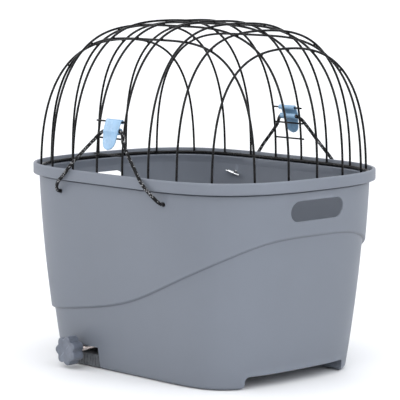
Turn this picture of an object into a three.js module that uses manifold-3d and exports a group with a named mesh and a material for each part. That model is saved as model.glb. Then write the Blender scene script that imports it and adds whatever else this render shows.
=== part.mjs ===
// A pet carrier basket for a bicycle's rear rack: a moulded tub, a wire grid dome that rests in its
// rim, two elastic cords with clip hooks that hold the dome down, and a screw clamp under the floor.
// Millimetres, +Z up. +X points to the rear of the bicycle, -Y to the side of the clamp's knob.
// The origin is the centre of the flat underside of the floor, which rests on the rack.
import * as THREE from 'three';
import { mergeVertices } from 'three/addons/utils/BufferGeometryUtils.js';
import Module from 'manifold-3d';

const wasm = await Module();
wasm.setup();

// ---------- driving dimensions ----------

const GAP = 0.3;                 // clearance between pieces that touch

// Tub. Every horizontal outline is a superellipse with half sizes a (along X) and b (along Y).
const FOOT_Z = -17;              // underside of the two side skirts
const COLLAR_Z = 244;            // underside of the rim collar
const RIM_Z = 259;               // top of the outer lip
const LEDGE_Z = 250;             // ledge inside the lip, on which the grid ring rests
const RIM = { a: 230.5, b: 178.3, n: 4.2, m: 2.75 };
// Half sizes and exponents of the wall under the collar, and how they change down to the foot.
const WALL = {
  a: 221.9, aSlope: 24.5, aCurve: 9.7,
  b: 169.3, bSlope: 22, bCurve: 8.5,
  n: 4.2, nSlope: 2.4, m: 2.75, mSlope: 0.4,
};
const WALL_TOP_Z = 238;          // where the wall starts to flare into the collar
const WAVE = [103.8, 66, 20.1, -1.9, -1.9, -4.1];           // cosine terms of the height of the wave
const FOOT_FILLET = 5;
const WALL_T = 3;                // wall thickness
const LIP_T = 4.2;               // thickness of the raised outer lip
const LEDGE_IN = 12.5;           // from the rim's outer edge to the ledge's inner edge
const STEP_OUT = 1.7;            // the wall above the wave stands proud by this much
const STEP_IN = -1.9;            // and the wall below it is set back by this much
const RING_STEPS = 64;           // points round each outline of the tub

// Openings in the tub.
const SLOT = { width: 97, height: 27, z: 216.5 };          // handle slots in both end walls
const CORD_HOLE = { x: 103.5, z: 226.5, radius: 3.4 };     // two in each side wall
const TUNNEL = { half: 92, fillet: 6 };                    // the gap between the skirts
// Cross channel that holds the clamp. Its mouths through the side walls are lower than its inside.
const RECESS = { x0: -128, x1: -58, top: 20, half: 134, mouthTop: 13 };

// Wire grid.
const WIRE_R = 1.6;
const RUNG_R = 1.2;
const GRID_RING_R = 2.5;
const GRID = { a: 221.4, b: 169.2, n: 4.2, m: 2.75, mTop: 2.15, z: LEDGE_Z + GRID_RING_R + GAP, height: 203 };
const GRID_SHRINK = { px: 3.36, rx: 2.76, py: 2.87, ry: 2.29 };   // how the outline closes with height
const GRID_RING_STEPS = 60;
const GRID_LEAN = 0.055;         // share by which an arch's plane leans in at the crown
const CROSS_X = [25.5, 75.8, 124.8, 171.4];                // arches across, on both sides of the middle
const LONG_Y = [0, 50.7, 100.1];                           // arches along, the first one on the middle
const ARCH_STEPS = 21;
const RUNG_Z = [328, 306, 284];                      // the three rungs of each side's ladder
const RUNG_HALF = 28;
const RUNG_OFFSET = WIRE_R + RUNG_R + GAP + 0.15;           // from a leg's centre out to a rung's

// Elastic cords, their end bars and the clip hooks.
const CORD_R = 2.4;
const CORD_STEPS = 56;
const CORD_SHIFT = { z: 275, rise: 35 };                   // above z the cord moves over to its hook
const BAR_TILT = 0.2;                                      // radians
const BAR = { radius: 1.5, half: 14, crimpRadius: 2.8, crimpLength: 12 };
const HOOK = { plate: 2, rungBore: RUNG_R + 0.4, cordBore: CORD_R + 0.4, out: 3.5, drop: 12, width: 30 };
const TONGUE = { length: 25, waistDrop: 14, waistHalf: 12.3, flare: 6 };   // below the cord's channel
const HOOK_X = { left: 8, right: 0 };                      // where each hook sits along its rung

// Rack clamp. The rod lies along Y, over the rack, in the cross channel.
const ROD = { x: -93, z: 7.5, radius: 4, y0: -160, y1: 106 };
const KNOB = { outer: 20.3, waist: 16.5, lobes: 7, y0: -171, y1: -153, hubRadius: 9, hubLength: 5 };
const JAW = { x0: -124.5, x1: -61.5, bottom: -15.5, top: 18 };
const RACK_TUBE = { y: 62, radius: 6 };                    // the rack rails that the jaws take hold of
const JAW_BACK = 34;                                       // from a rail's centre to its jaw's back face
const FIXED_JAW_Y = -136;                                  // the fixed jaw's outer end, in the mouth
const RUN = 0.25;                                          // running clearance round the rod
const BUSH = { wall: 2.5, y0: -94, y1: -54 };
const COLLAR = { radius: 6, length: 5 };
const NUT = { half: 6.5, y0: 76, y1: 82.5 };
const END_CAP = { radius: 5.8, length: 10.5, over: 2.5 };
const SCREW_X = [-114, -72];                               // the screws that hold the fixed jaw
const SCREW_Y = -92;
const SCREW = { headRadius: 4.6, headHeight: 2.6, shankRadius: 1.7, shankLength: 17, sink: 0.5 };

// ---------- helpers ----------

function material(color, roughness, metalness) {
  return new THREE.MeshStandardMaterial({ color, roughness, metalness });
}

const group = new THREE.Group();

function addPart(name, geometry, finish) {
  const mesh = new THREE.Mesh(geometry, finish);
  mesh.name = name;
  group.add(mesh);
  return mesh;
}

// A closed geometry as a manifold solid.
function solid(geometry) {
  const bare = geometry.clone();
  for (const key of Object.keys(bare.attributes)) {
    if (key !== 'position') bare.deleteAttribute(key);
  }
  const merged = mergeVertices(bare, 1e-4);
  const vertProperties = new Float32Array(merged.attributes.position.array);
  const triVerts = new Uint32Array(merged.index.array);
  return new wasm.Manifold(new wasm.Mesh({ numProp: 3, vertProperties, triVerts }));
}

function geometryOf(manifold) {
  const mesh = manifold.getMesh();
  const geometry = new THREE.BufferGeometry();
  geometry.setAttribute('position', new THREE.BufferAttribute(new Float32Array(mesh.vertProperties), 3));
  geometry.setIndex(new THREE.BufferAttribute(new Uint32Array(mesh.triVerts), 1));
  geometry.computeVertexNormals();
  return geometry;
}

// Rings of points, each the same count, skinned in order. closed joins the last ring to the first;
// otherwise both ends get a flat cap round their centre.
function skin(rings, closed = false) {
  const count = rings[0].length;
  const positions = rings.flat().flatMap((p) => [p.x, p.y, p.z]);
  const index = [];
  const spans = closed ? rings.length : rings.length - 1;
  for (let i = 0; i < spans; i += 1) {
    const low = i * count;
    const high = ((i + 1) % rings.length) * count;
    for (let j = 0; j < count; j += 1) {
      const k = (j + 1) % count;
      index.push(low + j, low + k, high + k, low + j, high + k, high + j);
    }
  }
  if (!closed) {
    for (const [ring, isLast] of [[0, false], [rings.length - 1, true]]) {
      const centre = new THREE.Vector3();
      rings[ring].forEach((p) => centre.add(p));
      centre.divideScalar(count);
      const hub = positions.length / 3;
      positions.push(centre.x, centre.y, centre.z);
      for (let j = 0; j < count; j += 1) {
        const a = ring * count + j;
        const b = ring * count + ((j + 1) % count);
        if (isLast) index.push(hub, a, b);
        else index.push(hub, b, a);
      }
    }
  }
  const geometry = new THREE.BufferGeometry();
  geometry.setAttribute('position', new THREE.Float32BufferAttribute(positions, 3));
  geometry.setIndex(index);
  geometry.computeVertexNormals();
  return geometry;
}

// The point of a superellipse in the direction psi, measured as if a and b were both 1.
function outlinePoint({ a, b, n, m }, psi) {
  const c = Math.cos(psi);
  const s = Math.sin(psi);
  let low = 0;
  let high = 2;
  for (let i = 0; i < 40; i += 1) {
    const r = (low + high) / 2;
    if (Math.abs(r * c) ** n + Math.abs(r * s) ** m < 1) low = r;
    else high = r;
  }
  return [a * low * c, b * low * s];
}

function outlineRing(shapeAt, steps) {
  const ring = [];
  for (let i = 0; i < steps; i += 1) {
    const psi = (i / steps) * 2 * Math.PI;
    const shape = shapeAt(psi);
    const [x, y] = outlinePoint(shape, psi);
    ring.push(new THREE.Vector3(x, y, shape.z));
  }
  return ring;
}

function box(x0, x1, y0, y1, z0, z1) {
  const geometry = new THREE.BoxGeometry(x1 - x0, y1 - y0, z1 - z0);
  geometry.translate((x0 + x1) / 2, (y0 + y1) / 2, (z0 + z1) / 2);
  return geometry;
}

function rod(x, z, radius, y0, y1, sides) {
  const geometry = new THREE.CylinderGeometry(radius, radius, y1 - y0, sides);
  geometry.translate(x, (y0 + y1) / 2, z);
  return geometry;
}

// An upright cylinder.
function pin(x, y, radius, z0, z1, sides = 10) {
  const geometry = new THREE.CylinderGeometry(radius, radius, z1 - z0, sides);
  geometry.rotateX(Math.PI / 2);
  geometry.translate(x, y, (z0 + z1) / 2);
  return geometry;
}

// A flat shape drawn in (Y, Z), extruded along X from x0 to x1.
function extrudeAlongX(shape, x0, x1, curveSegments = 8) {
  const geometry = new THREE.ExtrudeGeometry(shape, { depth: x1 - x0, bevelEnabled: false, curveSegments });
  geometry.applyMatrix4(new THREE.Matrix4().set(0, 0, 1, x0, 1, 0, 0, 0, 0, 1, 0, 0, 0, 0, 0, 1));
  return geometry;
}

function tube(points, radius, sides, steps) {
  const shape = new THREE.Shape();
  for (let i = 0; i < sides; i += 1) {
    const angle = (i / sides) * 2 * Math.PI;
    if (i === 0) shape.moveTo(radius * Math.cos(angle), radius * Math.sin(angle));
    else shape.lineTo(radius * Math.cos(angle), radius * Math.sin(angle));
  }
  const path = new THREE.CatmullRomCurve3(points, false, 'centripetal');
  return new THREE.ExtrudeGeometry(shape, { steps, extrudePath: path, bevelEnabled: false });
}

// ---------- tub ----------

// The wall's outline at height z, moved out by offset.
function wallShape(z, offset) {
  const k = (COLLAR_Z - z) / (COLLAR_Z - FOOT_Z);
  return {
    a: WALL.a - WALL.aSlope * k - WALL.aCurve * k * k + offset,
    b: WALL.b - WALL.bSlope * k - WALL.bCurve * k * k + offset,
    n: WALL.n + WALL.nSlope * k,
    m: WALL.m + WALL.mSlope * k,
    z,
  };
}

// Height of the wave moulded round the wall: high on the rear wall, low on the front one.
function waveZ(psi) {
  return WAVE.reduce((sum, term, k) => sum + term * Math.cos(k * psi), 0);
}

function rimShape(z, inset) {
  return { a: RIM.a - inset, b: RIM.b - inset, n: RIM.n, m: RIM.m, z };
}

// The wall's outlines from its rounded bottom edge up over the step of the wave.
function wallBody(offset, bottom, fillet) {
  const between = (from, to, share) => from + (to - from) * share;
  const foot = bottom + fillet;
  return [
    () => wallShape(bottom, STEP_IN + offset - fillet * 0.8),
    () => wallShape(bottom + fillet * 0.3, STEP_IN + offset - fillet * 0.25),
    () => wallShape(foot, STEP_IN + offset),
    (psi) => wallShape(between(foot, waveZ(psi), 0.5), STEP_IN + offset),
    (psi) => wallShape(waveZ(psi) - 2.2, STEP_IN + offset),
    (psi) => wallShape(waveZ(psi) + 0.8, STEP_OUT + offset),
    (psi) => wallShape(between(waveZ(psi), WALL_TOP_Z, 0.5), STEP_OUT + offset),
    () => wallShape(WALL_TOP_Z, STEP_OUT + offset),
  ];
}

function buildShell() {
  const rings = (shapes) => shapes.map((shapeAt) => outlineRing(shapeAt, RING_STEPS));
  const outer = solid(skin(rings([
    ...wallBody(0, FOOT_Z, FOOT_FILLET),
    () => wallShape(241.5, STEP_OUT + 1.5),
    () => rimShape(COLLAR_Z, 1.2),
    () => rimShape(COLLAR_Z + 2, 0),
    () => rimShape(RIM_Z - 1.5, 0),
    () => rimShape(RIM_Z, 1.2),
  ])));
  const cavity = solid(skin(rings([
    ...wallBody(-WALL_T, FOOT_Z + WALL_T, FOOT_FILLET - 1),
    () => rimShape(LEDGE_Z - 0.5, LEDGE_IN),
    () => rimShape(RIM_Z + 10, LEDGE_IN),
  ])));
  const lipRecess = solid(skin(rings([
    () => rimShape(LEDGE_Z, LIP_T),
    () => rimShape(RIM_Z + 10, LIP_T),
  ])));

  // The underside is cut away between the skirts, and across them for the clamp. The floor follows
  // both cuts, so the cavity stops one wall thickness above them.
  const tunnelShape = (half, top) => {
    const f = TUNNEL.fillet;
    const low = FOOT_Z - 20;
    const shape = new THREE.Shape();
    shape.moveTo(-half - f, low);
    shape.lineTo(-half - f, FOOT_Z);
    shape.absarc(-half - f, FOOT_Z + f, f, -Math.PI / 2, 0, false);
    shape.absarc(-half + f, top - f, f, Math.PI, Math.PI / 2, true);
    shape.absarc(half - f, top - f, f, Math.PI / 2, 0, true);
    shape.absarc(half + f, FOOT_Z + f, f, Math.PI, 1.5 * Math.PI, false);
    shape.lineTo(half + f, low);
    return shape;
  };
  const reach = RIM.a + 20;
  const tunnel = solid(extrudeAlongX(tunnelShape(TUNNEL.half, 0), -reach, reach, 3));
  const floorHalf = TUNNEL.half + WALL_T;
  const tunnelFloor = solid(box(-reach, reach, -floorHalf, floorHalf, FOOT_Z - 20, WALL_T));
  const channel = (half, top, grow) => solid(box(
    RECESS.x0 - grow, RECESS.x1 + grow, -half, half, FOOT_Z - 20, top + grow,
  ));
  let shell = outer.subtract(cavity.subtract(tunnelFloor).subtract(channel(reach, RECESS.top, WALL_T)));
  shell = shell.subtract(tunnel).subtract(lipRecess);
  shell = shell.subtract(channel(RECESS.half, RECESS.top, 0)).subtract(channel(reach, RECESS.mouthTop, 0));

  const slotShape = new THREE.Shape();
  const slotEnd = (SLOT.width - SLOT.height) / 2;
  slotShape.absarc(slotEnd, SLOT.z, SLOT.height / 2, -Math.PI / 2, Math.PI / 2, false);
  slotShape.absarc(-slotEnd, SLOT.z, SLOT.height / 2, Math.PI / 2, 1.5 * Math.PI, false);
  shell = shell.subtract(solid(extrudeAlongX(slotShape, -reach, reach, 6)));
  for (const x of [-CORD_HOLE.x, CORD_HOLE.x]) {
    shell = shell.subtract(solid(rod(x, CORD_HOLE.z, CORD_HOLE.radius, -reach, reach, 10)));
  }
  // Two screw holes above the fixed jaw.
  for (const x of SCREW_X) {
    shell = shell.subtract(solid(pin(x, SCREW_Y, SCREW.shankRadius + 0.9, RECESS.top - 10, RECESS.top + 10)));
  }
  return geometryOf(shell);
}

// ---------- wire grid ----------

// Height share (0 at the ring, 1 at the crown) at which the grid's surface reaches the point that
// pointAt(share) gives for the same share.
function gridShare(pointAt, inset) {
  let low = 0;
  let high = 1;
  for (let i = 0; i < 40; i += 1) {
    const share = (low + high) / 2;
    const [x, y] = pointAt(share);
    const a = (GRID.a - inset) * Math.max(1 - share ** GRID_SHRINK.rx, 1e-9) ** (1 / GRID_SHRINK.px);
    const b = (GRID.b - inset) * Math.max(1 - share ** GRID_SHRINK.ry, 1e-9) ** (1 / GRID_SHRINK.py);
    const m = GRID.m + (GRID.mTop - GRID.m) * share;
    if (Math.abs(x / a) ** GRID.n + Math.abs(y / b) ** m < 1) low = share;
    else high = share;
  }
  return low;
}

// Points along an arch. across arches stand in a plane of constant X, the others of constant Y.
// inset moves the arch inside the outer family, so that the two families lie on each other.
function archPoints(across, at, inset) {
  const sideExponent = across ? GRID.m : GRID.n;
  const planeExponent = across ? GRID.n : GRID.m;
  const planeHalf = (across ? GRID.a : GRID.b) - inset;
  const sideHalf = (across ? GRID.b : GRID.a) - inset;
  const reach = sideHalf * (1 - Math.abs(at / planeHalf) ** planeExponent) ** (1 / sideExponent);
  const half = 24;
  const foot = GRID.z + GRID_RING_R + GAP;
  const points = [];
  for (let i = -half; i <= half; i += 1) {
    const u = Math.sign(i) * (1 - (1 - Math.abs(i / half)) ** 3);
    const along = reach * u;
    const lean = (share) => at * (1 - GRID_LEAN * share * share);
    const pointAt = (share) => (across ? [lean(share), along] : [along, lean(share)]);
    const share = gridShare(pointAt, inset);
    const [x, y] = pointAt(share);
    const z = GRID.z + (GRID.height - inset) * share;
    if (z > foot + 8) points.push(new THREE.Vector3(x, y, z));
  }
  // The feet stand on the ring, just clear of it.
  const feet = [-reach, reach].map((v) => (across
    ? new THREE.Vector3(at, v, foot)
    : new THREE.Vector3(v, at, foot)));
  return [feet[0], ...points, feet[1]];
}

// Where an across arch's leg is at height z, on the side given by sign.
function legAt(x, sign, z) {
  const points = archPoints(true, x, 0).filter((p) => p.y * sign > 0);
  points.sort((p, q) => p.z - q.z);
  const above = points.findIndex((p) => p.z >= z);
  const low = points[above - 1];
  const high = points[above];
  return low.clone().lerp(high, (z - low.z) / (high.z - low.z));
}

function buildGrid() {
  const black = () => material(0x17181a, 0.42, 0.1);
  const ring = [];
  for (let i = 0; i < GRID_RING_STEPS; i += 1) {
    const psi = (i / GRID_RING_STEPS) * 2 * Math.PI;
    const [x, y] = outlinePoint(GRID, psi);
    const [x2, y2] = outlinePoint(GRID, psi + 0.01);
    const [x1, y1] = outlinePoint(GRID, psi - 0.01);
    const out = new THREE.Vector3(y2 - y1, x1 - x2, 0).normalize();
    const section = [];
    for (let j = 0; j < 8; j += 1) {
      const angle = (j / 8 + 1 / 16) * 2 * Math.PI;
      const r = GRID_RING_R / Math.cos(Math.PI / 8);
      const point = new THREE.Vector3(x, y, GRID.z + r * Math.sin(angle));
      section.push(point.addScaledVector(out, r * Math.cos(angle)));
    }
    ring.push(section);
  }
  addPart('grid_ring', skin(ring.reverse(), true), black());

  const crossX = [...CROSS_X.map((x) => -x).reverse(), ...CROSS_X];
  crossX.forEach((x, i) => {
    addPart(`cross_arch_${i + 1}`, tube(archPoints(true, x, 0), WIRE_R, 6, ARCH_STEPS), black());
  });
  const longInset = 2 * WIRE_R + GAP;
  const longY = [-LONG_Y[2], -LONG_Y[1], LONG_Y[0], LONG_Y[1], LONG_Y[2]];
  longY.forEach((y, i) => {
    addPart(`long_arch_${i + 1}`, tube(archPoints(false, y, longInset), WIRE_R, 6, ARCH_STEPS), black());
  });
  for (const [side, sign] of [['left', -1], ['right', 1]]) {
    RUNG_Z.forEach((z, i) => {
      const y = legAt(CROSS_X[0], sign, z).y + sign * RUNG_OFFSET;
      const rung = new THREE.CylinderGeometry(RUNG_R, RUNG_R, 2 * RUNG_HALF, 8);
      rung.rotateZ(Math.PI / 2);
      rung.translate(0, y, z);
      addPart(`ladder_rung_${side}_${i + 1}`, rung, black());
    });
  }
}

// ---------- clip hooks ----------

// A C-shaped roll round (u, w), from angle0 to angle1, drawn with u outward and w up.
function roll(u, w, inner, outer, angle0, angle1) {
  const shape = new THREE.Shape();
  shape.absarc(u, w, outer, angle0, angle1, false);
  shape.absarc(u, w, inner, angle1, angle0, true);
  return shape;
}

function buildHook(name, sign, centreX) {
  const y = legAt(CROSS_X[0], sign, RUNG_Z[0]).y + sign * RUNG_OFFSET;
  const t = HOOK.plate;
  const rungRoll = roll(0, 0, HOOK.rungBore, HOOK.rungBore + t, 0, 1.28 * Math.PI);
  const cordRoll = roll(HOOK.out, -HOOK.drop, HOOK.cordBore, HOOK.cordBore + t, 0.7 * Math.PI, 2 * Math.PI);
  const plateIn = HOOK.out + HOOK.cordBore;
  const plate = new THREE.Shape();
  plate.moveTo(HOOK.rungBore, 0.6);
  plate.lineTo(plateIn, -HOOK.drop);
  const end = -HOOK.drop - TONGUE.length + 0.5;
  const bend = -HOOK.drop - TONGUE.length * 0.44;
  plate.quadraticCurveTo(plateIn + 1, bend, plateIn + TONGUE.flare, end);
  plate.lineTo(plateIn + TONGUE.flare + t, end + 0.5);
  plate.quadraticCurveTo(plateIn + t + 1.2, bend, plateIn + t, -HOOK.drop);
  plate.lineTo(HOOK.rungBore + t, 0.6);
  const half = HOOK.width / 2;
  const slab = (shape) => solid(extrudeAlongX(shape, -half, half, 7));
  let body = slab(plate).add(slab(rungRoll)).add(slab(cordRoll));
  // The tongue narrows towards a round end.
  const front = new THREE.Shape();
  const top = 8;
  const waist = -HOOK.drop - TONGUE.waistDrop;
  const tip = -HOOK.drop - TONGUE.length;
  front.moveTo(-half, top);
  front.lineTo(-half, -top);
  front.quadraticCurveTo(-half, -HOOK.drop - 4, -TONGUE.waistHalf, waist);
  front.quadraticCurveTo(-TONGUE.waistHalf + 2, tip, 0, tip);
  front.quadraticCurveTo(TONGUE.waistHalf - 2, tip, TONGUE.waistHalf, waist);
  front.quadraticCurveTo(half, -HOOK.drop - 4, half, -top);
  front.lineTo(half, top);
  const mask = new THREE.ExtrudeGeometry(front, { depth: 60, bevelEnabled: false, curveSegments: 5 });
  mask.rotateX(Math.PI / 2);
  mask.translate(0, 30, 0);
  body = body.intersect(solid(mask));
  const geometry = geometryOf(body);
  if (sign < 0) geometry.rotateZ(Math.PI);
  const mesh = addPart(name, geometry, material(0x8fc1e6, 0.35, 0));
  mesh.position.set(centreX, y, RUNG_Z[0]);
}

// ---------- elastic cords ----------

// The middle of a hook's cord channel.
const CORD_OUT = legAt(CROSS_X[0], 1, RUNG_Z[0]).y + RUNG_OFFSET + HOOK.out;
const CORD_TOP = RUNG_Z[0] - HOOK.drop;

// Half of a cord's route on the left side, from its hole to the middle of the hook's channel, as
// distance from the hook's middle, outward position and height.
const CORD_ROUTE = [
  [103.5, 161.6, 226.5],
  [103.4, 168.0, 226.7],
  [102.7, 173.0, 228.5],
  [100.0, 177.0, 232.6],
  [95.4, 180.0, 238.0],
  [89.6, 181.7, 243.4],
  [83.2, 182.0, 248.4],
  [77.0, 182.0, 253.8],
  [71.0, 181.5, 260.5],
  [60.5, 179.6, 271.5],
  [48.0, 178.4, 283.5],
  [37.0, 177.4, 294.6],
  [28.6, 176.0, 303.4],
  [23.0, 173.0, 310.7],
  [17.5, 170.3, 315.1],
  [13.5, CORD_OUT + 0.05, CORD_TOP],
  [4.0, CORD_OUT, CORD_TOP],
];

function cordPoints(sign, centreX) {
  // The far ends stay at their holes while the middle follows the hook along its rung.
  const shift = (p) => centreX * Math.min(1, Math.max(0, (p[2] - CORD_SHIFT.z) / CORD_SHIFT.rise));
  const half = CORD_ROUTE.map((p) => [p, shift(p)]);
  const first = half.map(([p, s]) => new THREE.Vector3(-p[0] + s, sign * p[1], p[2]));
  const last = half.map(([p, s]) => new THREE.Vector3(p[0] + s, sign * p[1], p[2])).reverse();
  return [...first, ...last];
}

function buildCords() {
  for (const [side, sign] of [['left', -1], ['right', 1]]) {
    const points = cordPoints(sign, HOOK_X[side]);
    addPart(`elastic_cord_${side}`, tube(points, CORD_R, 8, CORD_STEPS), material(0x2b2c2e, 0.8, 0));
    for (const [end, endX] of [['front', -CORD_HOLE.x], ['rear', CORD_HOLE.x]]) {
      // A bar across the hole, inside the wall, with the crimp that grips the cord.
      const bar = new THREE.CylinderGeometry(BAR.radius, BAR.radius, 2 * BAR.half, 8);
      const crimp = new THREE.CylinderGeometry(BAR.crimpRadius, BAR.crimpRadius, BAR.crimpLength, 8);
      crimp.translate(0, BAR.half - BAR.crimpLength / 2 - 5, 0);
      const geometry = geometryOf(solid(bar).add(solid(crimp)));
      geometry.rotateZ(Math.PI / 2);
      const mesh = addPart(`cord_bar_${side}_${end}`, geometry, material(0xb9bcc0, 0.35, 0.9));
      mesh.position.set(endX, sign * (CORD_ROUTE[0][1] - GAP - BAR.crimpRadius), CORD_HOLE.z);
      mesh.rotation.y = BAR_TILT;
    }
  }
}

// ---------- rack clamp ----------

function buildKnob() {
  const shape = new THREE.Shape();
  const steps = KNOB.lobes * 6;
  for (let i = 0; i <= steps; i += 1) {
    const angle = (i / steps) * 2 * Math.PI;
    const wave = 0.5 - 0.5 * Math.cos(KNOB.lobes * angle);
    const r = KNOB.waist + (KNOB.outer - KNOB.waist) * wave ** 0.7;
    if (i === 0) shape.moveTo(r, 0);
    else if (i < steps) shape.lineTo(r * Math.cos(angle), r * Math.sin(angle));
  }
  const geometry = new THREE.ExtrudeGeometry(shape, { depth: KNOB.y1 - KNOB.y0, bevelEnabled: false });
  geometry.rotateX(Math.PI / 2);
  geometry.translate(ROD.x, KNOB.y1, ROD.z);
  const hub = rod(ROD.x, ROD.z, KNOB.hubRadius, KNOB.y1 - 2, KNOB.y1 + KNOB.hubLength, 16);
  const socket = rod(ROD.x, ROD.z, ROD.radius + GAP, ROD.y0 - GAP, KNOB.y1 + 20, 12);
  const knob = solid(geometry).add(solid(hub)).subtract(solid(socket));
  addPart('star_knob', geometryOf(knob), material(0x6b7280, 0.5, 0));
  addPart('threaded_rod', rod(ROD.x, ROD.z, ROD.radius, ROD.y0, ROD.y1, 12), material(0xb8b2a0, 0.35, 0.9));
}

// A jaw's side view, hooked round a rack rail. The left jaw reaches out to the mouth of the channel.
function jawShape(sign, reachOut) {
  const rail = sign * RACK_TUBE.y;
  const s = -sign;
  const r = RACK_TUBE.radius + 0.5;
  const shape = new THREE.Shape();
  const railZ = -r;
  shape.moveTo(rail + s * 4, JAW.bottom);
  shape.lineTo(rail + s * 4, railZ - r + 1.5);
  shape.lineTo(rail, railZ - r);
  const turn = sign < 0;
  shape.absarc(rail, railZ, r, -Math.PI / 2, Math.PI / 2, turn);
  shape.lineTo(rail + s * 6, 0);
  shape.lineTo(rail + s * 6, -1);
  shape.lineTo(rail + s * 10, -1);
  shape.lineTo(rail + s * 10, JAW.top);
  shape.lineTo(rail + sign * JAW_BACK, JAW.top);
  shape.lineTo(rail + sign * JAW_BACK, 1);
  shape.lineTo(reachOut, 1);
  shape.lineTo(reachOut, JAW.bottom);
  return shape;
}

function buildClamp() {
  const steel = () => material(0xb8bcc0, 0.35, 0.9);
  const dark = () => material(0x3c4046, 0.6, 0);
  const along = (radius, y0, y1, sides) => solid(rod(ROD.x, ROD.z, radius, y0, y1, sides));
  const reach = 200;

  let fixed = solid(extrudeAlongX(jawShape(-1, FIXED_JAW_Y), JAW.x0, JAW.x1));
  fixed = fixed.subtract(along(ROD.radius + BUSH.wall + GAP, -reach, reach, 16));
  for (const x of SCREW_X) {
    fixed = fixed.subtract(solid(pin(x, SCREW_Y, SCREW.shankRadius + GAP, JAW.top - 13, JAW.top + 3)));
  }
  addPart('fixed_jaw', geometryOf(fixed), dark());

  const bush = along(ROD.radius + BUSH.wall, BUSH.y0, BUSH.y1, 16);
  const bushBore = along(ROD.radius + RUN, BUSH.y0 - 1, BUSH.y1 + 1, 16);
  addPart('rod_bush', geometryOf(bush.subtract(bushBore)), material(0xd8d8d4, 0.5, 0));

  // Two collars on the rod, one on each side of the bush, keep it from moving endways.
  const collarY = { rod_collar_outer: BUSH.y0 - GAP - COLLAR.length, rod_collar_inner: BUSH.y1 + GAP };
  for (const [name, y] of Object.entries(collarY)) {
    const collar = along(COLLAR.radius, y, y + COLLAR.length, 16);
    const hole = along(ROD.radius + 0.1, y - 1, y + COLLAR.length + 1, 16);
    addPart(name, geometryOf(collar.subtract(hole)), steel());
  }

  // The sliding jaw has an open pocket that keeps the nut from turning.
  const pocket = box(
    ROD.x - NUT.half - GAP, ROD.x + NUT.half + GAP,
    NUT.y0 - GAP, NUT.y1 + GAP,
    ROD.z - NUT.half - GAP, JAW.top + 20,
  );
  let sliding = solid(extrudeAlongX(jawShape(1, RACK_TUBE.y + JAW_BACK), JAW.x0, JAW.x1));
  sliding = sliding.subtract(along(ROD.radius + 2 * RUN, -reach, reach, 12)).subtract(solid(pocket));
  addPart('sliding_jaw', geometryOf(sliding), dark());
  const nut = solid(box(
    ROD.x - NUT.half, ROD.x + NUT.half,
    NUT.y0, NUT.y1,
    ROD.z - NUT.half, ROD.z + NUT.half,
  ));
  const nutBore = along(ROD.radius + RUN, NUT.y0 - 1, NUT.y1 + 1, 16);
  addPart('jaw_nut', geometryOf(nut.subtract(nutBore)), steel());

  // A cap on the rod's free end.
  const capEnd = ROD.y1 + END_CAP.over;
  const cap = along(END_CAP.radius, capEnd - END_CAP.length, capEnd, 12);
  const socket = along(ROD.radius + 0.1, ROD.y1 - 20, ROD.y1 + GAP, 12);
  addPart('rod_end_cap', geometryOf(cap.subtract(socket)), material(0x2a2c2f, 0.6, 0));

  // Screws from inside the tub, through the floor, into the fixed jaw.
  const seat = RECESS.top + WALL_T + GAP;
  SCREW_X.forEach((x, i) => {
    const head = solid(pin(x, SCREW_Y, SCREW.headRadius, seat, seat + SCREW.headHeight, 12));
    const shankTop = seat + SCREW.sink;
    const shank = solid(pin(x, SCREW_Y, SCREW.shankRadius, shankTop - SCREW.shankLength, shankTop));
    addPart(`jaw_screw_${i + 1}`, geometryOf(head.add(shank)), steel());
  });
}

// ---------- the whole basket ----------

addPart('basket_shell', buildShell(), material(0x8a8f9b, 0.5, 0));
buildGrid();
buildHook('clip_hook_left', -1, HOOK_X.left);
buildHook('clip_hook_right', 1, HOOK_X.right);
buildCords();
buildKnob();
buildClamp();

export default group;
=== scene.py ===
"""Looks for the bicycle pet basket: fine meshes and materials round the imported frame.

Metres, +Z up, +X to the rear of the bicycle, -Y to the side of the clamp's knob.
"""
import math

import bmesh
import bpy
import numpy as np
from mathutils import Matrix, Vector


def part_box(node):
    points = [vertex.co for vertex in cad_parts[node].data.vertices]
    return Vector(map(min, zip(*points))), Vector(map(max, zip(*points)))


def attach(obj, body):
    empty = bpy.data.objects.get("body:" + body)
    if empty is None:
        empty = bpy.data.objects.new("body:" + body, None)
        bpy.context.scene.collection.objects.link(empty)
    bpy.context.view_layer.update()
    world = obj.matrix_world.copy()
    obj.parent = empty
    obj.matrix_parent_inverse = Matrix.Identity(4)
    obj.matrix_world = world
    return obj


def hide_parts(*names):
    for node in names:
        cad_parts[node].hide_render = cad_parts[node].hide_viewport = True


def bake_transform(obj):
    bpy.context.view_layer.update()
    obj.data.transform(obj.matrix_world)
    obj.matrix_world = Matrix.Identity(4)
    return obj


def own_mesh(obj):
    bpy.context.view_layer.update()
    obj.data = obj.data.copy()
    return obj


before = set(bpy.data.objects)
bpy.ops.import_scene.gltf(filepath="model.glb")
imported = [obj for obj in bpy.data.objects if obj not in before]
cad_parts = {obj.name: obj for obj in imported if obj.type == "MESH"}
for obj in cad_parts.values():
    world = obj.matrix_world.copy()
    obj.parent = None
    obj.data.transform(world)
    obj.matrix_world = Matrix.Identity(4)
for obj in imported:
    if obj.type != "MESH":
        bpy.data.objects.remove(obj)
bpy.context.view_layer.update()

MM = 0.001
TAU = 2 * math.pi

# ---------- camera ----------

AZIMUTH = math.radians(46.635)
ELEVATION = math.radians(7.053)
DISTANCE = 3.0721
LENS = 200.6
LOOK_AT = Vector((0, 0, 0.2086))
CENTRE_OFF = (-0.00575, 0.00115)


def new_object(name, data):
    thing = bpy.data.objects.new(name, data)
    bpy.context.scene.collection.objects.link(thing)
    return thing


def aim(thing, direction):
    """Turns a camera or a lamp to look in a direction, upright."""
    thing.rotation_mode = "QUATERNION"
    thing.rotation_quaternion = direction.to_track_quat("-Z", "Y")


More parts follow.
